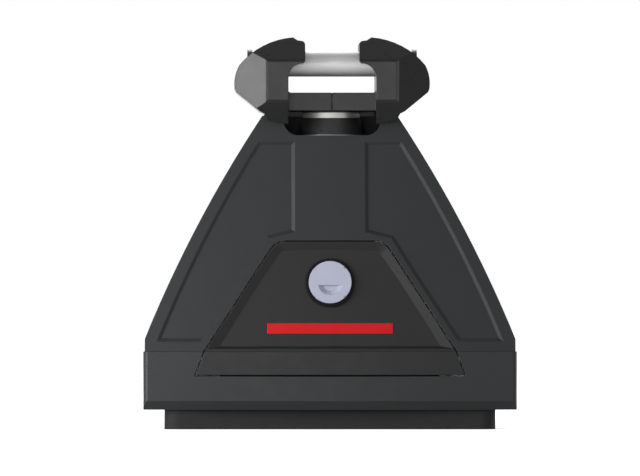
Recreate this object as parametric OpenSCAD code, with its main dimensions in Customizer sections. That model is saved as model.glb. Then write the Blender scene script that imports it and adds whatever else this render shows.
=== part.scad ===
// Foot of a roof rack, in millimetres. A clamp head for the crossbar stands on a cast tower,
// which a moulded cover hides and a steel plate and rubber pad carry on the roof track.
// The origin is the centre of the pad's underside: X runs along the track, +Z is up, and the
// lockable door is on the -Y side, which faces away from the car's middle.

/* [Pad and base plate] */
// Distance from the skirt's side in to the pad's end
pad_in = 7.4; // [5.4:0.2:9.4]
// Depth of the rubber pad
pad_d = 50; // [47:1:52]
// Thickness of the rubber pad
pad_t = 10; // [8:0.5:14]
// Corner radius of the pad, seen from above
pad_r = 6; // [4:0.5:10]
// Width of a groove in the pad's underside
groove_w = 3; // [2:0.5:4]
// Depth of a groove
groove_deep = 1.2; // [0.6:0.2:2]
// Distance from one groove to the next
groove_pitch = 9; // [7:0.5:12]
// How far the base plate stays inside the pad's edge
plate_inset = 2; // [1:0.5:4]
// Thickness of the base plate
plate_t = 4; // [3.6:0.2:6]
// Distance between the two track bolts
bolt_pitch = 64; // [54:1:66]
// Track bolt hole in the base plate
bolt_hole_d = 8.5; // [6.5:0.1:9]
// Track bolt hole in the pad
pad_hole_d = 11; // [9.5:0.5:13]

/* [Skirt] */
// Width of the skirt halfway through its depth
skirt_w = 146.8; // [144:0.2:152]
// Depth of the skirt at its middle
skirt_d = 68; // [66:1:74]
// Height of the skirt
skirt_h = 23.2; // [22:0.2:26]
// How far the skirt comes down over the pad
skirt_lap = 2.2; // [1:0.2:3]
// Radius of the front and rear faces, seen from above
face_r = 470; // [400:10:700]
// Angle by which each side leans in towards the rear
side_draft = 2.1; // [0.5:0.1:3]
// Radius of the skirt's upright corners
skirt_r = 2.5; // [1:0.25:4]
// Height of the chamfer along the skirt's lower edge
chamfer_h = 3.5; // [2:0.5:5]
// Depth of that chamfer
chamfer_in = 2; // [0.5:0.25:2.2]

/* [Cover] */
// Height of the cover above the skirt
cover_h = 94; // [92:0.5:98]
// Height of the upright band at the foot of the cover
band_h = 5; // [3:0.5:8]
// Width of the cover's rim
rim_w = 52.6; // [50:0.2:56]
// Depth of the cover's rim at its middle
rim_d = 34; // [33.5:0.5:36]
// How far each side bows out of a straight line
side_bow = 2.5; // [1:0.1:4]
// Step from the skirt in to the cover
step_in = 0.6; // [0.3:0.1:1]
// Wall of the cover
wall = 2.5; // [2.3:0.1:3]
// Height of the rim above the notch's lower edge
rim_h = 7.8; // [7:0.2:9]
// Thickness of the ribs inside the cover
cover_rib_t = 1.8; // [1.2:0.1:2.2]
// Depth of those ribs
cover_rib_d = 4; // [2:0.5:5]
// Distance from the middle to the ribs under the deck
cover_rib_x = 17; // [16:0.5:22]
// Width of the notch in the rim
notch_w = 38.4; // [32:0.4:44]
// Radius in the notch's lower corners
notch_r = 5.6; // [3:0.2:7]

/* [Leg panels] */
// Depth of the two shallow panels
leg_deep = 1; // [0.5:0.1:1.4]
// Width of the slope round a panel
leg_slope = 1.3; // [0.6:0.1:2]
// Margin between a panel and the cover's side
leg_margin = 3.8; // [3:0.2:6]
// Distance between a panel and the door
leg_land = 3; // [2:0.2:5]
// Height of a panel's lower edge above the skirt
leg_foot = 4; // [2:0.5:8]
// Distance from the rim to a panel's upper edge
leg_drop = 10.4; // [9:0.2:16]
// Distance from the middle to a panel's inner edge
leg_in = 14; // [10:0.5:18]

/* [Door] */
// Height of the door above the top of the skirt
door_up = 43.8; // [41:0.2:46]
// How far the door reaches down into the skirt
door_down = 9.3; // [8:0.1:10]
// Half width of the door's upper edge, before its corners are rounded
door_top_x = 21.6; // [20:0.2:24]
// Distance from the skirt's side to the door, at the top of the skirt
door_side = 23.4; // [22.4:0.2:25.4]
// How much further each side of the door reaches at its lower edge
door_flare = 3.5; // [2.5:0.1:4]
// Radius of the door's upper corners
door_r = 7; // [4:0.5:10]
// Gap round the door
door_gap = 0.4; // [0.3:0.05:0.5]
// Wall of the door
door_t = 2.5; // [2:0.1:3]
// Depth of the door's sunk panel
sunk_deep = 2; // [1:0.1:2.4]
// Width of the slope round the sunk panel
sunk_slope = 3.5; // [2:0.1:4]
// Width of the flat land between that slope and the door's edge
sunk_land = 0.4; // [0.3:0.1:1]
// Width of the slope along the sunk panel's lower edge
sunk_foot = 0.9; // [0.5:0.1:2]
// Height of the ledge between the skirt and the sunk panel
ledge_h = 1.2; // [0.8:0.1:2]
// Diameter of the hinge pins
pin_d = 3; // [2.5:0.1:3.2]
// Length of a hinge pin
pin_len = 12; // [10:0.5:13]
// Distance from the skirt's face to the hinge, at the ends of the door
hinge_in = 3.2; // [3.1:0.1:3.6]
// Height of the hinge above the door's lower edge
hinge_up = 6.4; // [6.2:0.1:7.5]
// Radius of the hinge lugs
lug_r = 2.8; // [2.6:0.1:2.8]

/* [Lock] */
// Height of the lock above the top of the skirt
lock_up = 27.6; // [26:0.2:29]
// Diameter of the lock's disc
disc_d = 17; // [15:0.2:18]
// Thickness of the lock's disc
disc_t = 1.9; // [1.5:0.1:2.5]
// Diameter of the lock's plug
plug_d = 13; // [11:0.5:14]
// Diameter of the lock's housing behind the door
housing_d = 16; // [15:0.2:17]
// Reach of the lock's housing behind the cover's face
housing_deep = 12; // [11.5:0.1:12.6]
// Width of the ring round the disc
ring_w = 1.1; // [0.8:0.1:1.5]
// Reach of the cam from the lock's centre
cam_reach = 22; // [21:0.5:23]
// Width of the cam
cam_w = 10; // [8:0.5:12]
// Thickness of the cam
cam_t = 2; // [1.5:0.1:2.2]

/* [Tower] */
// Distance from the base plate's end in to the tower's flange
flange_in = 4; // [3:0.5:5]
// Depth of the tower's flange
flange_d = 36; // [34:1:38]
// Thickness of the tower's flange
flange_t = 5; // [4:0.5:5]
// Distance from the flange's end in to the tower's legs
leg_foot_in = 2; // [1:0.5:4]
// Half width of the tower's legs at the top
leg_top_x = 15; // [14:0.5:18]
// Height of the legs above the base plate
legs_h = 94; // [90:0.5:96]
// Width of a leg, measured along the flange
leg_w = 13; // [11:0.5:14]
// Distance from the top of the legs to the window
window_drop = 22; // [20:0.5:24]
// Half width of the window's upper edge
window_top_x = 12.5; // [12.5:0.5:13.5]
// Thickness of the web between the ribs
web_t = 5; // [3:0.5:7]
// Depth of the ribs along the legs
rib_d = 22; // [18:0.5:23]
// Thickness of the ribs
rib_t = 3.5; // [2.5:0.25:4]
// Diameter of the four screws in the flange
tower_screw_d = 6; // [5:0.5:6]
// Distance from the flange's end to its screws
tower_screw_in = 7; // [6:0.5:8]
// Distance between the screws across the flange's depth
tower_screw_y = 26; // [24:0.5:28]

/* [Swivel] */
// Distance of the swivel's axis from the cover's middle, towards the right
swivel_x = 0.9; // [0:0.1:1.5]
// Lower diameter of the cone
cone_low_d = 27.2; // [26:0.2:27.6]
// Upper diameter of the cone
cone_top_d = 23.6; // [23:0.2:25]
// Height of the cone
cone_h = 6.7; // [6:0.1:7.5]
// Diameter of the bright washer
washer_d = 23; // [21:0.2:24]
// Thickness of the bright washer
washer_t = 2.7; // [2:0.1:3.5]
// Diameter of the swivel bolt
swivel_d = 10; // [9:0.5:10.5]
// Outer diameter of the bush round the bolt
bush_d = 14; // [13:0.5:16]

/* [Jaws] */
// Length of the jaws along the crossbar
jaw_len = 58; // [57.5:0.5:60]
// Half width of the slot for the crossbar's flange
slot_x = 17.5; // [16.5:0.1:18]
// Half width between the jaws' lips
lip_x = 10.8; // [10:0.1:12]
// Radius in the slot's lower corners
slot_r = 1.2; // [0.6:0.2:2]
// Height of the slot's straight wall above the seat
slot_wall = 5.8; // [5:0.1:6.4]
// Width of the jaws' flat front face, from the slot outwards
front_w = 8.5; // [7:0.25:10]
// Height of the flat front face above the seat
front_up = 12.8; // [11:0.2:14]
// Reach of the flat front face below the seat
front_down = 3.6; // [2:0.2:5]
// Slope of the outer facets: depth for each millimetre of width
outer_slope = 0.55; // [0.4:0.05:0.7]
// Slope of the upper facets: depth for each millimetre of height
upper_slope = 1; // [0.8:0.05:1.2]
// Slope of the lower facets: depth for each millimetre of height
lower_slope = 0.82; // [0.7:0.02:0.84]
// Thickness of the tongues under the crossbar
tongue_t = 7.2; // [7:0.1:8]
// Width of the bevel along each crease, measured along a facet
crease = 0.6; // [0.3:0.1:1]
// Wall of a tongue above and below the carrier
tongue_wall = 2; // [1.8:0.1:2.1]
// Distance from the middle to the tongues' front
tongue_front = 15; // [14:0.5:16]
// Gap where the two tongues meet
seam = 0.3; // [0.2:0.05:0.6]
// Travel of each jaw as the clamp opens
jaw_travel = 6.8; // [5:0.1:6.8]

/* [Carrier] */
// Width of the plate that the jaws slide on
carrier_w = 50; // [46:0.5:51]
// Depth of that plate
carrier_d = 24; // [20:0.5:25]
// Diameter of the carrier's bush
carrier_bush_d = 16; // [14:0.5:17]

/* [Clamp rod] */
// Diameter of the clamp rod
rod_d = 10; // [9:0.2:10.2]
// Height of the rod's axis above the seat
rod_up = 11.4; // [11.3:0.1:12.2]
// Distance from the middle to the rod's axis, towards the front
rod_front = 13; // [11:0.5:14]
// Diameter of the rod's end caps
cap_d = 11.6; // [11:0.1:11.9]
// Thickness of an end cap
cap_t = 2; // [1.5:0.1:2.4]
// Distance from the middle to the inner face of an end cap
cap_x = 31.8; // [31.6:0.1:32.4]

/* [Cover screws] */
// Diameter of the screws that join the two halves of the cover
screw_d = 4; // [3:0.5:4]
// Radius of the screw bosses
boss_r = 4.5; // [4.2:0.1:5]
// Length of a screw below its head
screw_len = 26; // [24:1:28]
// Height of the upper screws above the skirt
screw_high = 61; // [58:0.5:64]

/* [Hidden] */
$fn = 64;
// Facets of the broad faces, whose radii are much larger than the part
broad_fn = 1440;
// Steps along a rounded corner or a bowed edge of an outline
arc_n = 8;
// A cutter reaches this far past what it cuts
past = 1;
// Reach of the cutters that pass through the whole part
far = 200;
// Overlap of the cover's solid with the skirt's, inside the skirt
lap = 0.5;
// Radial clearance of a shaft that turns in its bore
run_fit = 0.05;
// Clearance between pieces that only lie beside each other
side_fit = 0.3;

// An outline's edge longer than this is divided, so that a recess follows the bulged face
long_edge = 60;

// Widths that follow from the skirt's
pad_w = skirt_w - 2 * pad_in;
plate_w = pad_w - 2 * plate_inset;
cover_w = skirt_w - 2 * step_in;
flange_w = plate_w - 2 * flange_in;
leg_foot_x = flange_w / 2 - leg_foot_in;
tower_screw_x = flange_w - 2 * tower_screw_in;
door_mid_x = skirt_w / 2 - door_side;
door_low_x = door_mid_x + door_flare;

// Heights, from the pad up
skirt_z0 = pad_t - skirt_lap;
skirt_z1 = skirt_z0 + skirt_h;
rim_z = skirt_z1 + cover_h;
notch_z = rim_z - rim_h;
deck_z = notch_z - 0.6;
deck_t = wall;
flange_z = pad_t + plate_t;
flange_top = flange_z + flange_t;
cone_z = notch_z + 0.2;
washer_z = cone_z + cone_h;
tongue_gap = 0.2;
tongue_z = washer_z + washer_t + tongue_gap;
seat_z = tongue_z + tongue_t;

// The cover's front face leans back by this angle, and its rear face as much the other way
lean = atan((skirt_d / 2 - step_in - rim_d / 2) / cover_h);
face_y0 = -(skirt_d / 2 - step_in);
skirt_yc = face_r - skirt_d / 2;

// Each side of the cover is an arc from the band up to the rim
arc_low = [cover_w / 2, skirt_z1 + band_h];
arc_high = [rim_w / 2, rim_z];
arc_chord = norm(arc_high - arc_low);
side_r = arc_chord * arc_chord / (8 * side_bow) + side_bow / 2;
arc_out = [arc_high[1] - arc_low[1], arc_low[0] - arc_high[0]] / arc_chord;
side_c = (arc_low + arc_high) / 2 - arc_out * (side_r - side_bow);

door_top_z = skirt_z1 + door_up;
door_low_z = skirt_z1 - door_down;
hinge_y = -skirt_d / 2 + bulge(door_low_x, 0) + hinge_in;
hinge_z = door_low_z + hinge_up;
pan_t = sunk_deep + door_t;
lock_z = skirt_z1 + lock_up;
lug_x = door_mid_x - 0.8;
lug_len = 5;
pin_x0 = lug_x - lug_len + 0.4;
// The edge of the door's opening above the lock, measured up the face, plus a little
catch_up = (door_top_z + door_gap - lock_z) / cos(lean) + 0.8;
ring_r = disc_d / 2 + 0.2 + ring_w;
ring_top = 1.1 - sunk_deep;
disc_low = ring_top - 0.7;
disc_top = disc_low + disc_t;
cam_z = -housing_deep - 0.2 - cam_t;
square_w = plug_d * 0.5;
lock_nut_wall = 4;
lock_nut_t = 3;
lock_screw_r = 2;
lock_screw_len = 5;
tower_screw_len = plate_t + flange_t + 4;

legs_top = flange_z + legs_h;
window_top = legs_top - window_drop;
pocket_deep = 14;
pocket_z = window_top + pocket_deep;
boss_low = window_top + 2;
shoulder_r = rim_d / 2 - 1.5;
neck_r = cone_low_d / 2 + 0.3;
bush_lip_r = bush_d / 2 + 2;
bush_lip_t = 1.5;
spring_h = 1.6;
bolt_flange_r = 10;
bolt_flange_t = 1.6;
bolt_head_h = 7;
bolt_head_af = 15;

slot_z = tongue_z + tongue_wall;
slot_h = tongue_t - 2 * tongue_wall;
carrier_t = slot_h - 0.2;
jaw_drop = 12.6;
// Corners of the jaw's outline seen from the front, out from the slot and up from the seat
jaw_foot = [8, 1.4 - jaw_drop];
jaw_knee = [[9.6, -8.4], [11.3, -7.6], [20.6, 0]];
jaw_hip = [21.2, 1.2];
jaw_shoulder = [19.6, 10.8];
// How far the hip's and the upper arc bow out
hip_bow = 0.8;
top_bow = 2.5;
// The jaw's upper tip and its lip's edge, out from the lip and up from the seat
jaw_tip = [4.8, 22];
lip_edge = [3, 20.6];
lip_low_z = 12.6;
lip_round = 1.6;
jaw_top = 24;
lip_back = rim_d / 2 + 3.4;
tongue_depth = tongue_front + lip_back + 2;
rod_z = seat_z + rod_up;
rod_hole_r = rod_d / 2 + run_fit;
counter_x = cap_x - jaw_travel - 0.4;
counter_r = cap_d / 2 + 0.4;
stub_r = rod_d * 0.3;

screw_seat_y = 16;
screw_head_r = screw_d * 0.9;
screw_head_h = screw_d * 0.6;
screw_low_z = flange_z + boss_r + 3.5;
screw_high_z = skirt_z1 + screw_high;
screw_spots = [
    [skirt_w / 2 - skirt_d / 2 * tan(side_draft) - wall - boss_r - side_fit, screw_low_z],
    [cover_half(screw_high_z, wall) - boss_r - 4, screw_high_z],
];

cover_grey = [0.21, 0.215, 0.22];
door_grey = [0.18, 0.182, 0.186];
jaw_black = [0.2, 0.2, 0.2];
dark = [0.13, 0.13, 0.135];
rubber = [0.2, 0.2, 0.21];
steel = [0.72, 0.72, 0.74];
cast_grey = [0.45, 0.46, 0.48];
lock_pale = [0.68, 0.69, 0.77];

// How far the broad face falls back from its middle at x, for a face moved in by d
function bulge(x, d) = face_r - sqrt((face_r - d) * (face_r - d) - x * x);

// The y of the leaning front face at (x, z), for a face moved in by d
function face_y(x, z, d) =
    face_y0 + (z - skirt_z1 + bulge(x, d) * sin(lean)) * tan(lean) + bulge(x, d) * cos(lean);

// Half width of the cover at a height, for a wall moved in by d
function cover_half(z, d) =
    side_c[0] + sqrt((side_r - d) * (side_r - d) - (z - side_c[1]) * (z - side_c[1]));

// Half width of the door at a height above the skirt
function door_half(z) =
    door_mid_x + (door_top_x - door_mid_x) * (z - skirt_z1) / door_up;

// Outward normal of the edge from p to q of an anticlockwise outline
function edge_out(p, q) = [q[1] - p[1], p[0] - q[0]] / norm(q - p);

// Corner b moved in from its two edges, with normals m and n, by s and t
function corner_in(b, m, n, s, t) = let (c = m * n)
    s == t ? b - s * (m + n) / (1 + c)
           : b - ((s - t * c) * m + (t - s * c) * n) / (1 - c * c);

// An outline with edge i, from point i to the next, moved in by ins[i]
function inset_by(pts, ins) = let (n = len(pts)) [for (i = [0:n - 1])
    let (a = pts[(i + n - 1) % n], b = pts[i], c = pts[(i + 1) % n])
    corner_in(b, edge_out(a, b), edge_out(b, c), ins[(i + n - 1) % n], ins[i])];
function inset(pts, s) = inset_by(pts, [for (p = pts) s]);

// An outline with edge i divided into parts[i] equal parts
function divided(pts, parts) = let (n = len(pts)) [for (i = [0:n - 1]) for (k = [0:parts[i] - 1])
    pts[i] + (pts[(i + 1) % n] - pts[i]) * k / parts[i]];

// The arc that rounds corner b, between neighbours a and c, with radius r
function round_at(a, b, c, r) = let (
    u = (a - b) / norm(a - b), v = (c - b) / norm(c - b), phi = acos(u * v),
    centre = b + (u + v) / norm(u + v) * r / sin(phi / 2),
    start = b + u * r / tan(phi / 2) - centre, a0 = atan2(start[1], start[0]),
    turn = sign(v[0] * u[1] - v[1] * u[0]) * (180 - phi))
    [for (k = [0:arc_n]) centre + r * [cos(a0 + turn * k / arc_n), sin(a0 + turn * k / arc_n)]];

// An outline with corner i rounded by radii[i], where 0 keeps it sharp
function rounded(pts, radii) = let (n = len(pts)) [for (i = [0:n - 1])
    let (a = pts[(i + n - 1) % n], b = pts[i], c = pts[(i + 1) % n])
    each (radii[i] == 0 ? [b] : round_at(a, b, c, radii[i]))];

// Points of the arc from p to q that bows out by bow to the right of the way from p to q
function bowed(p, q, bow) = let (
    chord = norm(q - p), r = chord * chord / (8 * bow) + bow / 2, out = edge_out(p, q),
    along = (q - p) / chord, c = (p + q) / 2 + out * (bow - r), half = asin(chord / (2 * r)))
    [for (k = [0:arc_n]) let (t = half * (2 * k / arc_n - 1))
        c + r * (cos(t) * out + sin(t) * along)];

function trapezoid(low_x, low_z, top_x, top_z) =
    [[-low_x, low_z], [low_x, low_z], [top_x, top_z], [-top_x, top_z]];

// The door's outline, made larger all round by g
function door_outline(g) = rounded(inset([[-door_low_x, door_low_z], [door_low_x, door_low_z],
    [door_mid_x, skirt_z1], [door_top_x, door_top_z], [-door_top_x, door_top_z],
    [-door_mid_x, skirt_z1]], -g), [0, 0, 0, door_r + g, door_r + g, 0]);

// The sunk panel's outline: its upper edge of slope when s is 0, its floor when s is 1
function sunk_outline(s) = let (low = skirt_z1 + ledge_h, edge = sunk_land + s * sunk_slope)
    rounded(inset_by(trapezoid(door_half(low), low, door_top_x, door_top_z),
        [s * sunk_foot, edge, edge, edge]), [0, 0, door_r - edge, door_r - edge]);

// The right leg panel's outline, from its inner bend round by the foot and the bowed side
function leg_outline() = let (
    foot = skirt_z1 + leg_foot, top = rim_z - leg_drop, bend = door_top_z + 1.2,
    land = leg_land * norm([door_mid_x - door_top_x, door_up]) / door_up)
    concat([[door_half(bend) + land, bend], [door_half(foot) + land, foot]],
        [for (k = [0:arc_n]) let (z = foot + (top - foot) * k / arc_n)
            [cover_half(z, leg_margin), z]],
        [[leg_in, top], [leg_in, bend + 2.6]]);

// A 2-D outline in x and z made into a prism along Y, centred on y = 0
module along_y(length) rotate([90, 0, 0]) linear_extrude(length, center = true) children();

// A 2-D outline in y and z made into a prism along X, centred on x = 0
module along_x(length) rotate([90, 0, 90]) linear_extrude(length, center = true) children();

// The same, but only the half in front of the part's middle
module ahead(length) translate([0, -rim_d / 2 + 8, 0]) rotate([90, 0, 0])
    linear_extrude(length) children();

module both_sides() {
    children();
    mirror([1, 0, 0]) children();
}

module on_swivel() translate([swivel_x, 0, 0]) children();

module rounded_slab(w, d, r, t) linear_extrude(t) {
    square([w, d - 2 * r], center = true);
    square([w - 2 * r, d], center = true);
    for (x = [-1, 1], y = [-1, 1]) translate([x * (w / 2 - r), y * (d / 2 - r)]) circle(r);
}

module rod_x(r, x0, x1) translate([x0, 0, 0]) rotate([0, 90, 0]) cylinder(r = r, h = x1 - x0);

// A frame on the lock's axis: z points out of the door's face and y points up it
module lock_frame() translate([0, face_y(0, lock_z, 0), lock_z]) rotate([90 - lean, 0, 0])
    children();

module hinge_frame() translate([0, hinge_y, hinge_z]) children();

// The wedge between a round upright corner and the sharp corner that it replaces. The round is
// a little larger than its wedge, so that it crosses the two faces and leaves no sliver there.
module corner_waste(rear) {
    h = skirt_w / 2;
    t = rear ? -tan(side_draft) : tan(side_draft);
    a = (h - skirt_r) / cos(side_draft);
    b = a * t + skirt_yc;
    q = face_r - skirt_r;
    y = (b - sqrt(b * b - (1 + t * t) * (a * a + skirt_yc * skirt_yc - q * q))) / (1 + t * t);
    c = [a - t * y, y];
    side = [cos(side_draft), rear ? -sin(side_draft) : sin(side_draft)];
    face = [c[0], c[1] - skirt_yc] / norm([c[0], c[1] - skirt_yc]);
    mirror([0, rear ? 1 : 0]) difference() {
        polygon([c, c + skirt_r * side, c + 1.5 * skirt_r * (side + face), c + skirt_r * face]);
        translate(c) circle(skirt_r * 1.01);
    }
}

// Everything inside the right side of the skirt, seen from above, moved in by d
module inside_right(d) rotate(side_draft) translate([skirt_w / 2 - d - far, -far / 2]) square(far);

// The two upright sides, which lean towards each other at the rear
module side_plan(d) intersection() {
    inside_right(d);
    mirror([1, 0]) inside_right(d);
}

// The bulged front of the skirt, with the chamfer along its lower edge
module skirt_barrel(d, chamfer) translate([0, skirt_yc, skirt_z0]) {
    translate([0, 0, chamfer]) cylinder(r = face_r - d, h = skirt_h - chamfer, $fn = broad_fn);
    if (chamfer > 0)
        cylinder(r1 = face_r - chamfer_in, r2 = face_r, h = chamfer, $fn = broad_fn);
}

// The skirt as a solid
module skirt_solid() intersection() {
    translate([0, 0, skirt_z0]) linear_extrude(skirt_h) difference() {
        side_plan(0);
        for (x = [0, 1], rear = [false, true]) mirror([x, 0]) corner_waste(rear);
    }
    skirt_barrel(0, chamfer_h);
    mirror([0, 1, 0]) skirt_barrel(0, chamfer_h);
}

// The room inside the skirt, for a wall of d
module skirt_room(d) intersection() {
    translate([0, 0, skirt_z0 - past]) linear_extrude(skirt_h + past - d) side_plan(d);
    translate([0, 0, -past]) skirt_barrel(d, 0);
    mirror([0, 1, 0]) translate([0, 0, -past]) skirt_barrel(d, 0);
}

// The cylinder whose side is the leaning front face, moved in by d
module face_barrel(d) translate([0, face_y0, skirt_z1]) rotate([-lean, 0, 0])
    translate([0, face_r, 0]) cylinder(r = face_r - d, h = 2 * far, center = true, $fn = broad_fn);

// Everything inside the bowed right side of the cover from z0 to z1, moved in by d
module side_barrel(d, z0, z1) rotate([0, 0, side_draft]) along_y(far) intersection() {
    translate(side_c) circle(side_r - d, $fn = broad_fn);
    translate([cover_w / 2 - d - far, z0]) square([far, z1 - z0]);
}

// The cover from z0 to z1 as a solid, moved in by d
module cover_solid(d, z0, z1) intersection() {
    face_barrel(d);
    mirror([0, 1, 0]) face_barrel(d);
    side_barrel(d, z0, z1);
    mirror([1, 0, 0]) side_barrel(d, z0, z1);
}

module body_solid() {
    skirt_solid();
    cover_solid(0, skirt_z1 - lap, rim_z);
}

// What is hollow inside a wall of d, up to z1
module room(d, z1) {
    skirt_room(d);
    cover_solid(d, skirt_z1 - d - lap, z1);
}

// A cutter with sloped walls for a recess in the front face. The outline at the face is outer
// and at the floor inner, and eye is a point that sees all of both. The cutter reaches lift
// beyond the face, and its floor is left to the caller.
module recess_cutter(outer, inner, deep, lift, eye) {
    m = len(outer);
    parts = [for (i = [0:m - 1]) norm(outer[(i + 1) % m] - outer[i]) > long_edge ? 4 : 1];
    top = divided(outer, parts);
    low = divided(inner, parts);
    n = len(top);
    sink = 0.5;
    slope = (top - low) / deep;
    near = [for (i = [0:n - 1]) let (p = top[i] + slope[i] * lift)
        [p[0], face_y(p[0], p[1], -lift), p[1]]];
    deepest = [for (i = [0:n - 1]) let (p = low[i] - slope[i] * sink)
        [p[0], face_y(p[0], p[1], deep + sink), p[1]]];
    ends = [for (d = [-lift, deep + sink]) [eye[0], face_y(eye[0], eye[1], d), eye[1]]];
    polyhedron(concat(near, deepest, ends), [for (i = [0:n - 1]) let (j = (i + 1) % n)
        each [[2 * n, j, i], [2 * n + 1, n + i, n + j], [i, j, n + j], [i, n + j, n + i]]]);
}

module leg_recess() difference() {
    recess_cutter(leg_outline(), inset(leg_outline(), leg_slope), leg_deep, 3,
        leg_outline()[0] + [3, 8]);
    cover_solid(leg_deep, skirt_z1, rim_z);
}

module sunk_recess() difference() {
    recess_cutter(sunk_outline(0), sunk_outline(1), sunk_deep, 5, [0, lock_z]);
    cover_solid(sunk_deep, skirt_z1, rim_z);
}

// The room below the door that its lower edge sweeps as it turns: part of a barrel about the hinge
module door_sweep() intersection() {
    end = door_low_x + door_gap;
    hinge_frame() rotate([0, 90, 0]) rotate_extrude() polygon(concat([[0, -end]],
        [for (k = [-arc_n:arc_n]) let (x = end * k / arc_n)
            [norm([hinge_y + skirt_d / 2 - bulge(x, 0), hinge_up]) + door_gap, x]],
        [[0, end]]));
    translate([-far / 2, -far / 2, door_low_z - far]) cube(far);
}

module base_pad() color(rubber) difference() {
    rounded_slab(pad_w, pad_d, pad_r, pad_t);
    rows = floor((pad_d / 2 - groove_w) / groove_pitch);
    for (k = [-rows:rows]) translate([0, k * groove_pitch, 0])
        cube([pad_w - 2 * pad_r, groove_w, 2 * groove_deep], center = true);
    both_sides() translate([bolt_pitch / 2, 0, -past])
        cylinder(d = pad_hole_d, h = pad_t + 2 * past);
}

module at_tower_screws() for (x = [-1, 1], y = [-1, 1])
    translate([x * tower_screw_x / 2, y * tower_screw_y / 2, pad_t]) children();

module base_plate() color(steel) difference() {
    translate([0, 0, pad_t])
        rounded_slab(plate_w, pad_d - 2 * plate_inset, pad_r - plate_inset / 2, plate_t);
    both_sides() translate([bolt_pitch / 2, 0, pad_t - past])
        cylinder(d = bolt_hole_d, h = plate_t + 2 * past);
    at_tower_screws() {
        translate([0, 0, -past]) cylinder(r = tower_screw_d / 2 + 0.02, h = plate_t + 2 * past);
        cylinder(r1 = tower_screw_d + 0.02, r2 = tower_screw_d / 2 + 0.02, h = tower_screw_d / 2);
    }
}

module tower_bolts() color(steel) at_tower_screws() {
    cylinder(r1 = tower_screw_d, r2 = tower_screw_d / 2, h = tower_screw_d / 2);
    cylinder(d = tower_screw_d, h = tower_screw_len);
}

module tower_frame() color(cast_grey) {
    outer = trapezoid(leg_foot_x, flange_z, leg_top_x, legs_top);
    window = trapezoid(leg_foot_x - leg_w, flange_top, window_top_x, window_top);
    difference() {
        union() {
            translate([0, 0, flange_z]) rounded_slab(flange_w, flange_d, pad_r, flange_t);
            along_y(web_t) difference() {
                polygon(outer);
                polygon(window);
            }
            along_y(rib_d) difference() {
                polygon(outer);
                polygon(inset(outer, rib_t));
            }
            along_y(rib_d) difference() {
                polygon(inset(window, -rib_t));
                polygon(window);
            }
            on_swivel() {
                translate([0, 0, boss_low])
                    cylinder(r = shoulder_r, h = deck_z - deck_t - boss_low);
                translate([0, 0, pocket_z]) cylinder(r = neck_r, h = cone_z - pocket_z);
            }
            at_tower_screws() translate([0, 0, plate_t])
                cylinder(r = tower_screw_d, h = flange_t + 6);
        }
        on_swivel() {
            translate([0, 0, window_top - past])
                cylinder(r = bolt_flange_r + 1.2, h = pocket_z - window_top + past);
            cylinder(r = bush_d / 2 + 0.02, h = far);
            translate([0, 0, cone_z - bush_lip_t])
                cylinder(r = bush_lip_r + 0.1, h = past + bush_lip_t);
        }
        at_tower_screws() cylinder(r = tower_screw_d / 2 + 0.02, h = plate_t + flange_t + 6 + past);
        both_sides() translate([bolt_pitch / 2, 0, flange_z - past])
            cylinder(d = 2 * bolt_hole_d + 1, h = flange_t + past + 0.5);
    }
}

// The U notch in the rim, in front of the cone
module notch() on_swivel() ahead(far)
    polygon(rounded([[-notch_w / 2, notch_z], [notch_w / 2, notch_z], [notch_w / 2, rim_z + past],
        [-notch_w / 2, rim_z + past]], [notch_r, notch_r, 0, 0]));

module at_screws() both_sides() for (spot = screw_spots) translate([spot[0], 0, spot[1]])
    rotate([90, 0, 0]) children();

// Ribs that run up the inside of the broad walls from z0 to the deck
module cover_ribs(z0) both_sides() intersection() {
    translate([cover_rib_x, -far / 2, z0]) cube([cover_rib_t, far, deck_z - deck_t / 2 - z0]);
    difference() {
        cover_solid(wall / 2, skirt_z1, rim_z);
        cover_solid(wall + cover_rib_d, skirt_z1 - past, rim_z + past);
    }
}

// One half of the cover without its openings: rear is -1 for the front half, 1 for the rear half
module half_shell(rear) intersection() {
    union() {
        difference() {
            body_solid();
            room(wall, deck_z - deck_t);
            cover_solid(wall, deck_z, rim_z + past);
        }
        intersection() {
            body_solid();
            at_screws() cylinder(r = boss_r, h = far, center = true);
        }
        cover_ribs(rear > 0 ? skirt_z1 + 6 : door_top_z + 9);
    }
    translate([0, rear * far / 2, 0]) cube([far, far, 2 * far], center = true);
}

module front_cover() color(cover_grey) difference() {
    union() {
        half_shell(-1);
        intersection() {
            body_solid();
            both_sides() hinge_frame() rod_x(lug_r + 0.3, door_low_x + 0.1, door_low_x + 4.5);
        }
        lock_frame() translate([-cam_w / 2, catch_up, -housing_deep + 0.1])
            cube([cam_w, 3.2, housing_deep - wall + 0.9]);
    }
    ahead(far) polygon(door_outline(door_gap));
    door_sweep();
    notch();
    both_sides() leg_recess();
    both_sides() hinge_frame() rod_x(pin_d / 2 + 0.02, pin_x0, pin_x0 + pin_len);
    at_screws() translate([0, 0, -past])
        cylinder(r = screw_d / 2 + 0.02, h = screw_len - screw_seat_y + 2 * past);
    on_swivel() translate([0, 0, skirt_z1]) cylinder(r = neck_r + side_fit, h = far);
}

module rear_cover() color(cover_grey) difference() {
    half_shell(1);
    mirror([0, 1, 0]) both_sides() leg_recess();
    at_screws() {
        translate([0, 0, -far]) cylinder(r = screw_head_r + 0.4, h = far - screw_seat_y);
        translate([0, 0, -far]) cylinder(r = screw_d / 2 + 0.1, h = far + past);
    }
    on_swivel() translate([0, 0, skirt_z1]) cylinder(r = neck_r + side_fit, h = far);
}

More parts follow.
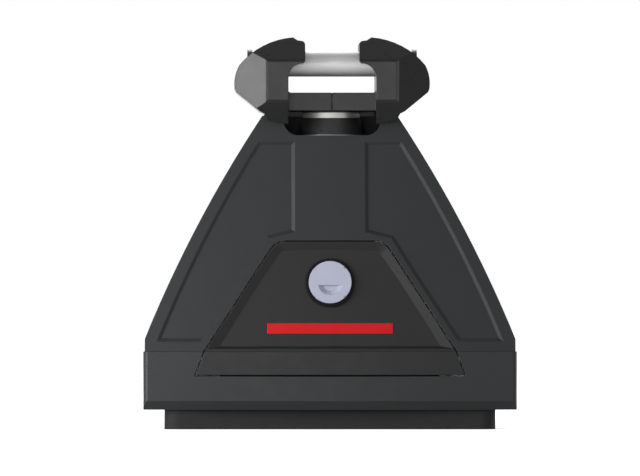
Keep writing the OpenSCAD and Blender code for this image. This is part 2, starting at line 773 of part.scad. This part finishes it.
module cover_screws() color(steel) at_screws() translate([0, 0, -screw_seat_y]) {
    cylinder(d = screw_d, h = screw_len);
    difference() {
        translate([0, 0, -screw_head_h]) cylinder(r = screw_head_r, h = screw_head_h);
        translate([0, 0, -screw_head_h - past])
            cylinder(r = screw_d * 0.35, h = past + screw_head_h * 0.6, $fn = 6);
    }
}

module access_door() color(door_grey) difference() {
    union() {
        intersection() {
            ahead(far) polygon(door_outline(0));
            difference() {
                body_solid();
                room(door_t, rim_z);
            }
        }
        intersection() {
            ahead(far) polygon(inset(sunk_outline(0), 1));
            difference() {
                cover_solid(door_t / 2, skirt_z1, rim_z);
                cover_solid(pan_t, skirt_z1 - past, rim_z + past);
            }
        }
        intersection() {
            skirt_barrel(door_t / 2, 0);
            both_sides() hinge_frame() rod_x(lug_r, lug_x - lug_len, lug_x);
        }
    }
    sunk_recess();
    both_sides() hinge_frame()
        rod_x(pin_d / 2 + run_fit, lug_x - lug_len - past, door_low_x + past);
    lock_frame() cylinder(r = housing_d / 2 + 0.05, h = far, center = true);
}

module door_pins() color(steel) both_sides() hinge_frame()
    rod_x(pin_d / 2, pin_x0, pin_x0 + pin_len);

module lock_housing() color(dark) lock_frame() difference() {
    union() {
        translate([0, 0, -housing_deep]) cylinder(d = housing_d, h = housing_deep - sunk_deep);
        translate([0, 0, -sunk_deep]) cylinder(r = ring_r, h = ring_top + sunk_deep);
    }
    translate([0, 0, -far]) cylinder(r = plug_d / 2 + run_fit, h = 2 * far);
    translate([0, 0, disc_low - 0.1]) cylinder(r = disc_d / 2 + 0.2, h = far);
}

module lock_nut() color(steel) lock_frame() translate([0, 0, -pan_t - 0.2 - lock_nut_t])
    difference() {
        cylinder(r = housing_d / 2 + lock_nut_wall, h = lock_nut_t, $fn = 6);
        translate([0, 0, -past]) cylinder(r = housing_d / 2 + 0.03, h = lock_nut_t + 2 * past);
    }

module lock_core() color(lock_pale) lock_frame() difference() {
    union() {
        translate([0, 0, disc_low]) cylinder(d = disc_d, h = disc_t);
        translate([0, 0, cam_z + cam_t]) cylinder(d = plug_d, h = disc_low - cam_z - cam_t);
        translate([0, 0, cam_z + cam_t / 2])
            cube([square_w, square_w, cam_t], center = true);
    }
    // The half-moon recess for a fingertip, and four small notches round the rim
    difference() {
        translate([0, -0.4, disc_top - 1.3])
            cylinder(r1 = disc_d * 0.17, r2 = disc_d * 0.285, h = 1.31);
        translate([-disc_d / 2, -1.2, disc_low]) cube([disc_d, disc_d, 2 * disc_t]);
    }
    for (k = [0:3]) rotate([0, 0, 45 + 90 * k]) translate([disc_d / 2, 0, disc_top - 0.7])
        cylinder(r = 0.5, h = disc_t);
    translate([0, 0, cam_z - past])
        cylinder(r = lock_screw_r + 0.02, h = lock_screw_len + 2 * past);
}

module lock_cam() color(steel) lock_frame() translate([0, 0, cam_z])
    difference() {
        linear_extrude(cam_t) {
            circle(plug_d / 2);
            translate([0, -cam_w / 2]) square([cam_reach - cam_w / 2, cam_w]);
            translate([cam_reach - cam_w / 2, 0]) circle(cam_w / 2);
        }
        translate([0, 0, cam_t / 2])
            cube([square_w + 0.1, square_w + 0.1, 2 * cam_t], center = true);
    }

module lock_screw() color(steel) lock_frame() translate([0, 0, cam_z]) {
    cylinder(r = lock_screw_r, h = lock_screw_len);
    translate([0, 0, -2]) cylinder(r = plug_d * 0.32, h = 2);
}

module swivel_bush() color(dark) on_swivel() difference() {
    union() {
        translate([0, 0, pocket_z]) cylinder(d = bush_d, h = cone_z - pocket_z);
        translate([0, 0, cone_z - bush_lip_t]) cylinder(r = bush_lip_r, h = bush_lip_t);
    }
    cylinder(r = swivel_d / 2 + run_fit, h = far);
}

module swivel_cone() color(dark) on_swivel() translate([0, 0, cone_z]) difference() {
    cylinder(d1 = cone_low_d, d2 = cone_top_d, h = cone_h);
    translate([0, 0, -past]) cylinder(r = swivel_d / 2 + 0.1, h = cone_h + 2 * past);
}

module swivel_washer() color(steel) on_swivel() translate([0, 0, washer_z]) difference() {
    rim = 0.5;
    union() {
        cylinder(d = washer_d, h = washer_t - rim);
        translate([0, 0, washer_t - rim])
            cylinder(r1 = washer_d / 2, r2 = washer_d / 2 - rim, h = rim);
    }
    translate([0, 0, -past]) cylinder(r = swivel_d / 2 + 0.02, h = washer_t + 2 * past);
}

module head_carrier() color(steel) on_swivel() difference() {
    union() {
        translate([0, 0, slot_z + 0.1]) rounded_slab(carrier_w, carrier_d, 2, carrier_t);
        translate([0, 0, tongue_z - tongue_gap])
            cylinder(d = carrier_bush_d, h = slot_z + 0.1 - tongue_z + tongue_gap);
    }
    cylinder(r = swivel_d / 2 + 0.02, h = far);
}

module swivel_bolt() color(steel) on_swivel() {
    low = pocket_z - spring_h;
    translate([0, 0, low]) cylinder(d = swivel_d, h = slot_z + carrier_t - low);
    translate([0, 0, low - bolt_flange_t]) cylinder(r = bolt_flange_r, h = bolt_flange_t);
    translate([0, 0, low - bolt_flange_t - bolt_head_h])
        cylinder(r = bolt_head_af / sqrt(3), h = bolt_head_h, $fn = 6);
}

module disc_spring() color(steel) on_swivel() translate([0, 0, pocket_z]) rotate_extrude() {
    low_in = swivel_d / 2 + 0.3;
    low_out = bolt_flange_r - 0.3;
    thick = 0.9;
    polygon([[low_in, 0], [low_in, -thick], [low_out, -spring_h], [low_out, thick - spring_h]]);
}

// The right jaw's outline seen from the front, from the slot's lower corner anticlockwise
function jaw_outline() = let (r = slot_wall, slot = [slot_x, 0], lip = [lip_x, 0],
    edge = lip + lip_edge) concat(
    [[slot_x, -jaw_drop], slot + jaw_foot], [for (p = jaw_knee) slot + p],
    bowed(slot + jaw_hip, slot + jaw_shoulder, hip_bow),
    bowed(slot + jaw_shoulder, lip + jaw_tip, top_bow),
    [edge + [0, 0.2]],
    round_at(edge, [lip_x, edge[1]], [lip_x, lip_low_z], lip_round),
    [[lip_x, lip_low_z], [lip_x + 0.4, lip_low_z - 0.8]],
    [for (k = [0:arc_n]) [slot_x - r, slot_wall] + r * [sin(90 * k / arc_n), cos(90 * k / arc_n)]]);

// An outline with corner i cut off by cuts[i] along each of its edges, where 0 keeps it sharp
function bevelled(pts, cuts) = let (n = len(pts)) [for (i = [0:n - 1])
    let (a = pts[(i + n - 1) % n], b = pts[i], c = pts[(i + 1) % n])
    each (cuts[i] == 0 ? [b] : [b + (a - b) / norm(a - b) * cuts[i],
        b + (c - b) / norm(c - b) * cuts[i]])];

// The rounded corner between the right tongue and the slot's wall, a little sunk into both
function slot_corner() = let (c = [slot_x - slot_r, slot_r] + [0.02, -0.02])
    concat([[slot_x - slot_r, -past], [slot_x + past, -past], [slot_x + past, slot_r]],
        [for (k = [0:arc_n]) c + slot_r * [cos(90 * k / arc_n), -sin(90 * k / arc_n)]]);

// The jaws' outline seen from the side, and the right jaw's seen from above
function jaw_side() = let (half = jaw_len / 2, top_y = half - upper_slope * (jaw_top - front_up),
    low_y = half - lower_slope * (jaw_drop - front_down))
    bevelled([[-half, -front_down], [-low_y, -jaw_drop], [low_y, -jaw_drop], [half, -front_down],
        [half, front_up], [top_y, jaw_top], [-top_y, jaw_top], [-half, front_up]],
        [crease, 0, 0, crease, crease, 0, 0, crease]);
function jaw_plan() = let (half = jaw_len / 2, out = slot_x + front_w, reach = slot_x + 24,
    end_y = half - outer_slope * (reach - out))
    bevelled([[0, -half], [out, -half], [reach, -end_y], [reach, end_y], [out, half], [0, half]],
        [0, crease, 0, 0, crease, 0]);

module jaw() difference() {
    translate([0, 0, seat_z]) intersection() {
        union() {
            along_y(far) polygon(jaw_outline());
            translate([seam / 2, -tongue_front, -tongue_t])
                cube([slot_x + past - seam / 2, tongue_depth, tongue_t]);
            translate([0, tongue_depth / 2 - tongue_front, 0]) along_y(tongue_depth)
                polygon(slot_corner());
            translate([seam / 2, lip_back, -jaw_drop])
                cube([slot_x + past - seam / 2, 2, jaw_drop - tongue_t + past]);
        }
        along_x(far) polygon(jaw_side());
        linear_extrude(far, center = true) polygon(jaw_plan());
    }
    // Room for the cover's rim under the jaw
    translate([-far / 2, -lip_back, 0]) cube([far, 2 * lip_back, rim_z + 0.7]);
    // The slot that the carrier slides in, and the half-round notch for its bush
    translate([-past, -carrier_d / 2 - side_fit, slot_z])
        cube([carrier_w / 2 + past + 1, carrier_d + 2 * side_fit, slot_h]);
    translate([0, 0, tongue_z - past]) cylinder(r = carrier_bush_d / 2 + 0.5, h = past + slot_h);
    // The thread's bore and the open pocket for the rod's cap
    translate([0, -rod_front, rod_z]) {
        rod_x(rod_hole_r, 0, far);
        rod_x(counter_r, counter_x, far);
    }
}

module left_jaw() color(jaw_black) on_swivel() mirror([1, 0, 0]) jaw();
module right_jaw() color(jaw_black) on_swivel() jaw();

module clamp_rod() color(steel) on_swivel() translate([0, -rod_front, rod_z]) difference() {
    union() {
        rod_x(rod_d / 2, -cap_x, cap_x);
        rod_x(stub_r, -cap_x - cap_t, cap_x + cap_t);
    }
    both_sides() translate([cap_x - 4, 0, 0]) rotate([0, 90, 0])
        cylinder(r = stub_r * 0.75, h = cap_t + 4 + past, $fn = 6);
}

module rod_cap() translate([0, -rod_front, rod_z]) difference() {
    rod_x(cap_d / 2, cap_x, cap_x + cap_t);
    rod_x(stub_r + 0.02, cap_x - past, cap_x + cap_t + past);
}

module rod_cap_left() color(dark) on_swivel() mirror([1, 0, 0]) rod_cap();
module rod_cap_right() color(dark) on_swivel() rod_cap();

base_pad();
base_plate();
tower_frame();
tower_bolts();
front_cover();
rear_cover();
cover_screws();
access_door();
door_pins();
lock_housing();
lock_nut();
lock_core();
lock_cam();
lock_screw();
swivel_bush();
swivel_cone();
swivel_washer();
head_carrier();
swivel_bolt();
disc_spring();
left_jaw();
right_jaw();
clamp_rod();
rod_cap_left();
rod_cap_right();
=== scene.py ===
import math

import bpy
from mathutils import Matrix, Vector


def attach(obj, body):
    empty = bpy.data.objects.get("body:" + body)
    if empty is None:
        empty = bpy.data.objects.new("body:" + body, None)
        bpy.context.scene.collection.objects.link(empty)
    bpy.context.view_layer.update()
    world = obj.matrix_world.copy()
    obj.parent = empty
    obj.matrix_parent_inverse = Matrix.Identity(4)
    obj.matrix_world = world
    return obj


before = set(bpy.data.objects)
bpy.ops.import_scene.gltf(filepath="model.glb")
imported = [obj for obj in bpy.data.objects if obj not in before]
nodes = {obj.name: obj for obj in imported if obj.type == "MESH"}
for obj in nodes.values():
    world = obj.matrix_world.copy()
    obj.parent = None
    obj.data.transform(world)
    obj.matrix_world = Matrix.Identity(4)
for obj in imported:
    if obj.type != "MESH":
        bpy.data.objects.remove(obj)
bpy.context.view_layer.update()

MM = 0.001

# The photograph is close to a parallel projection, so the lens is long. It shows VIEW_WIDTH from
# left to right, with VIEW_CENTRE in its middle. The camera stands a little to the left, which
# keeps the seam between the jaws' tongues dark.
VIEW_WIDTH = 256 * MM
VIEW_CENTRE = Vector((-3.75, 0, 76.2)) * MM
VIEW_AZIMUTH = -0.6
LENS = 800.0
SENSOR = 36.0
CLIP_END = 20

# The red bar stands in the middle of the door's sunk panel, below the lock
BAR_LENGTH = 50 * MM
BAR_HEIGHT = 4.2 * MM
BAR_MIDDLE_Z = 40.2 * MM
BAR_PROUD = 0.25 * MM
BAR_ROUNDING = 0.12 * MM
BAR_STEPS = 24
AHEAD_OF_DOOR_Y = -0.2

# Size of the slow changes of colour and of gloss that every finish has, and a noise's detail
TINT_SIZE = 14 * MM
GLOSS_SIZE = 5 * MM
NOISE_DETAIL = 3.0

# The floor reaches this far each way, and its glow grows from the object outwards
FLOOR_REACH = 6.0
FLOOR_GREY = 0.6
GLOW_NEAR = 0.75
GLOW_FAR = 1.0
GLOW_START = 0.1
GLOW_END = 0.5

# Softboxes: a name, then azimuth and elevation in degrees, distance, width, height and power.
# Azimuth 0 is the front and 90 the right. A large box beside the camera lights the whole front,
# two at the left light that side and its edges, one at the right fills, and the others light the
# right side and the back.
SOFTBOXES = (
    ("key_left", -57, 0, 0.7, 0.37, 0.42, 10.5),
    ("edge_left", -32, 0, 1.4, 0.12, 0.5, 4.5),
    ("front", -5, 1, 2.6, 0.9, 0.6, 17),
    ("fill_right", 36, 0, 2.0, 0.3, 0.9, 11),
    ("side_right", 125, 10, 2.0, 0.6, 0.9, 8),
    ("back", 165, 42, 2.2, 1.8, 1.2, 30),
    ("back_high", 200, 50, 2.0, 0.8, 0.8, 8),
)
WORLD_LEVEL = 0.3


def add(name, data):
    """A new object in the scene that holds the given mesh, lamp or camera."""
    thing = bpy.data.objects.new(name, data)
    bpy.context.scene.collection.objects.link(thing)
    return thing


def aim(thing, azimuth, elevation, distance):
    """Puts a lamp or camera at a place round the view's centre, and turns it to that centre."""
    a = math.radians(azimuth)
    e = math.radians(elevation)
    away = Vector((math.sin(a) * math.cos(e), -math.cos(a) * math.cos(e), math.sin(e)))
    thing.location = VIEW_CENTRE + away * distance
    thing.rotation_euler = (VIEW_CENTRE - thing.location).to_track_quat("-Z", "Y").to_euler()


def link(tree, out_socket, in_socket):
    tree.links.new(out_socket, in_socket)


def noise(tree, coords, size):
    """A noise texture whose features measure about size, in metres."""
    node = tree.nodes.new("ShaderNodeTexNoise")
    node.inputs["Scale"].default_value = 1.0 / size
    node.inputs["Detail"].default_value = NOISE_DETAIL
    link(tree, coords, node.inputs["Vector"])
    return node.outputs["Fac"]


def spread(tree, factor, low, high, start=0.3, end=0.7):
    """Maps a value from start to end, as a noise gives it, to the range from low to high."""
    node = tree.nodes.new("ShaderNodeMapRange")
    node.inputs["From Min"].default_value = start
    node.inputs["From Max"].default_value = end
    node.inputs["To Min"].default_value = low
    node.inputs["To Max"].default_value = high
    link(tree, factor, node.inputs["Value"])
    return node.outputs["Result"]


def surface(name, colour, roughness, metallic=0.0, grain=0.5 * MM, grain_height=0.01 * MM,
            edge=0.4 * MM, vary=0.06, rough_vary=0.05, stretch=(1, 1, 1), specular=0.5):
    """A finish with soft edges, a fine grain, and colour and gloss that vary a little."""
    material = bpy.data.materials.new(name)
    material.use_nodes = True
    tree = material.node_tree
    shader = tree.nodes["Principled BSDF"]
    shader.inputs["Metallic"].default_value = metallic
    shader.inputs["Specular IOR Level"].default_value = specular
    coords = tree.nodes.new("ShaderNodeTexCoord").outputs["Object"]
    mapping = tree.nodes.new("ShaderNodeMapping")
    mapping.inputs["Scale"].default_value = stretch
    link(tree, coords, mapping.inputs["Vector"])
    fine = mapping.outputs["Vector"]

    tint = tree.nodes.new("ShaderNodeMix")
    tint.data_type = "RGBA"
    tint.inputs["A"].default_value = [c * (1 - vary) for c in colour] + [1]
    tint.inputs["B"].default_value = [c * (1 + vary) for c in colour] + [1]
    link(tree, noise(tree, coords, TINT_SIZE), tint.inputs["Factor"])
    link(tree, tint.outputs["Result"], shader.inputs["Base Color"])

    gloss = noise(tree, fine, GLOSS_SIZE)
    rough = spread(tree, gloss, roughness - rough_vary, roughness + rough_vary)
    link(tree, rough, shader.inputs["Roughness"])

    bevel = tree.nodes.new("ShaderNodeBevel")
    bevel.samples = 6
    bevel.inputs["Radius"].default_value = edge
    bump = tree.nodes.new("ShaderNodeBump")
    bump.inputs["Strength"].default_value = 1.0
    bump.inputs["Distance"].default_value = grain_height
    link(tree, noise(tree, fine, grain), bump.inputs["Height"])
    link(tree, bevel.outputs["Normal"], bump.inputs["Normal"])
    link(tree, bump.outputs["Normal"], shader.inputs["Normal"])
    return material


def dress(material, *names):
    for name in names:
        mesh = nodes[name].data
        mesh.materials.clear()
        mesh.materials.append(material)


def red_bar():
    """A slim plain bar, bowed to follow the panel that it lies on."""
    panel = nodes["access_door"].evaluated_get(bpy.context.evaluated_depsgraph_get())

    def panel_y(x, z):
        start = Vector((x, AHEAD_OF_DOOR_Y, z))
        _, place, _, _ = panel.ray_cast(start, Vector((0, 1, 0)))
        return place.y

    # Four points at each step: front and back of the lower edge, then of the upper edge
    points = []
    for i in range(BAR_STEPS + 1):
        x = -BAR_LENGTH / 2 + BAR_LENGTH * i / BAR_STEPS
        for z in (-BAR_HEIGHT / 2, BAR_HEIGHT / 2):
            y = panel_y(x, BAR_MIDDLE_Z + z)
            points.append((x, y - BAR_PROUD, BAR_MIDDLE_Z + z))
            points.append((x, y + BAR_PROUD, BAR_MIDDLE_Z + z))

    faces = []
    for i in range(BAR_STEPS):
        a = 4 * i
        b = a + 4
        faces.append((a, b, b + 2, a + 2))
        faces.append((a + 1, a + 3, b + 3, b + 1))
        faces.append((a, a + 1, b + 1, b))
        faces.append((a + 2, b + 2, b + 3, a + 3))
    last = 4 * BAR_STEPS
    faces.append((0, 2, 3, 1))
    faces.append((last, last + 1, last + 3, last + 2))

    mesh = bpy.data.meshes.new("door_bar")
    mesh.from_pydata(points, [], faces)
    mesh.validate()
    bar = add("door_bar", mesh)
    rounding = bar.modifiers.new("rounding", "BEVEL")
    rounding.width = BAR_ROUNDING
    rounding.segments = 2
    mesh.materials.append(surface("bar_red", (0.35, 0.005, 0.008), 0.4, edge=0.1 * MM,
                                  specular=0.12))
    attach(bar, "door")


def softbox(name, azimuth, elevation, distance, width, height, power):
    lamp = bpy.data.lights.new(name, "AREA")
    lamp.shape = "RECTANGLE"
    lamp.size = width
    lamp.size_y = height
    lamp.energy = power
    aim(add(name, lamp), azimuth, elevation, distance)


def seen_directly(tree):
    """1 for rays from the camera, and for those that metal or glass sends on, otherwise 0."""
    path = tree.nodes.new("ShaderNodeLightPath")
    total = path.outputs["Is Camera Ray"]
    for kind in ("Is Glossy Ray", "Is Transmission Ray"):
        either = tree.nodes.new("ShaderNodeMath")
        either.operation = "MAXIMUM"
        link(tree, total, either.inputs[0])
        link(tree, path.outputs[kind], either.inputs[1])
        total = either.outputs["Value"]
    return total


def floor():
    """A pale floor that glows a little, so that it looks white and still takes a shadow."""
    mesh = bpy.data.meshes.new("floor")
    corners = [(x * FLOOR_REACH, y * FLOOR_REACH, 0)
               for x, y in ((-1, -1), (1, -1), (1, 1), (-1, 1))]
    mesh.from_pydata(corners, [], [(0, 1, 2, 3)])
    plane = add("floor", mesh)

    material = bpy.data.materials.new("floor_white")
    material.use_nodes = True
    tree = material.node_tree
    shader = tree.nodes["Principled BSDF"]
    shader.inputs["Base Color"].default_value = (FLOOR_GREY, FLOOR_GREY, FLOOR_GREY, 1)
    shader.inputs["Roughness"].default_value = 0.9
    shader.inputs["Specular IOR Level"].default_value = 0.0

    away = tree.nodes.new("ShaderNodeVectorMath")
    away.operation = "LENGTH"
    link(tree, tree.nodes.new("ShaderNodeTexCoord").outputs["Object"], away.inputs[0])
    level = spread(tree, away.outputs["Value"], GLOW_NEAR, GLOW_FAR, GLOW_START, GLOW_END)
    scaled = tree.nodes.new("ShaderNodeMath")
    scaled.operation = "MULTIPLY"
    link(tree, seen_directly(tree), scaled.inputs[0])
    link(tree, level, scaled.inputs[1])
    glow = tree.nodes.new("ShaderNodeEmission")
    link(tree, scaled.outputs["Value"], glow.inputs["Strength"])

    both = tree.nodes.new("ShaderNodeAddShader")
    link(tree, shader.outputs["BSDF"], both.inputs[0])
    link(tree, glow.outputs["Emission"], both.inputs[1])
    link(tree, both.outputs["Shader"], tree.nodes["Material Output"].inputs["Surface"])
    mesh.materials.append(material)


def surroundings():
    """A dim grey world that looks white to the camera and in reflections."""
    world = bpy.data.worlds.new("studio")
    bpy.context.scene.world = world
    world.use_nodes = True
    tree = world.node_tree
    dim = tree.nodes["Background"]
    dim.inputs["Color"].default_value = (1, 1, 1, 1)
    dim.inputs["Strength"].default_value = WORLD_LEVEL
    white = tree.nodes.new("ShaderNodeBackground")
    white.inputs["Color"].default_value = (1, 1, 1, 1)
    mix = tree.nodes.new("ShaderNodeMixShader")
    link(tree, seen_directly(tree), mix.inputs["Fac"])
    link(tree, dim.outputs["Background"], mix.inputs[1])
    link(tree, white.outputs["Background"], mix.inputs[2])
    link(tree, mix.outputs["Shader"], tree.nodes["World Output"].inputs["Surface"])


def camera():
    data = bpy.data.cameras.new("camera")
    data.lens = LENS
    data.sensor_width = SENSOR
    data.clip_end = CLIP_END
    eye = add("camera", data)
    aim(eye, VIEW_AZIMUTH, 0, LENS * VIEW_WIDTH / SENSOR)
    bpy.context.scene.camera = eye


camera()

# Moulded and rubber parts
dress(surface("cover_plastic", (0.0141, 0.015, 0.0155), 0.42, grain=0.35 * MM,
              grain_height=0.015 * MM, specular=0.15), "front_cover", "rear_cover")
dress(surface("door_plastic", (0.013, 0.013, 0.0132), 0.4, grain=0.3 * MM,
              grain_height=0.012 * MM, specular=0.12), "access_door")
dress(surface("pad_rubber", (0.0158, 0.0158, 0.0163), 0.7, grain=0.6 * MM, grain_height=0.03 * MM,
              edge=0.8 * MM, specular=0.1), "base_pad")
dress(surface("dark_plastic", (0.017, 0.017, 0.017), 0.32, grain=0.4 * MM, specular=0.2),
      "swivel_cone", "rod_cap_left", "rod_cap_right", "swivel_bush")
# The lock housing's ring is near-black: partly the ring's own dark plastic, partly painted shade
# of the gap round the lock's disc.
dress(surface("dark_plastic_ring_painted_gap_shade", (0.004, 0.004, 0.004), 0.5, grain=0.4 * MM, specular=0.06),
      "lock_housing")

# Coated jaws, cast tower and steel parts. The carrier's near-black colour is painted shade for
# the seam between the jaws, where the carrier shows through.
dress(surface("jaw_coat", (0.0085, 0.0085, 0.0086), 0.29, grain=0.7 * MM, grain_height=0.008 * MM,
              edge=0.5 * MM, vary=0.03, rough_vary=0.02, specular=0.145), "left_jaw", "right_jaw")
dress(surface("cast_metal", (0.42, 0.42, 0.44), 0.55, metallic=1.0, grain=0.5 * MM,
              grain_height=0.04 * MM), "tower_frame")
dress(surface("zinc_steel", (0.56, 0.57, 0.6), 0.35, metallic=1.0, grain=1.2 * MM),
      "base_plate", "tower_bolts", "cover_screws", "lock_nut", "lock_cam", "lock_screw",
      "swivel_bolt")
dress(surface("zinc_steel_painted_seam_shade", (0.045, 0.045, 0.05), 0.45, metallic=1.0, grain=1.2 * MM),
      "head_carrier")

# Drawn steel has fine lines along the rod, and turned steel has them round the swivel's axis
dress(surface("bright_steel", (0.36, 0.36, 0.365), 0.6, metallic=1.0, grain=0.4 * MM,
              grain_height=0.002 * MM, edge=0.2 * MM, stretch=(1, 14, 14)),
      "clamp_rod", "door_pins")
dress(surface("turned_steel", (0.31, 0.307, 0.3), 0.55, metallic=1.0, grain=0.4 * MM,
              grain_height=0.001 * MM, edge=0.2 * MM, stretch=(1, 1, 14)),
      "swivel_washer", "disc_spring")

# The lock's pale disc, and the bar on the door
dress(surface("lock_disc", (0.26, 0.268, 0.337), 0.34, grain=0.5 * MM, grain_height=0.004 * MM,
              edge=0.25 * MM, specular=0.3), "lock_core")
red_bar()

# Studio
floor()
surroundings()
for settings in SOFTBOXES:
    softbox(*settings)

bpy.context.scene.view_settings.view_transform = "Standard"
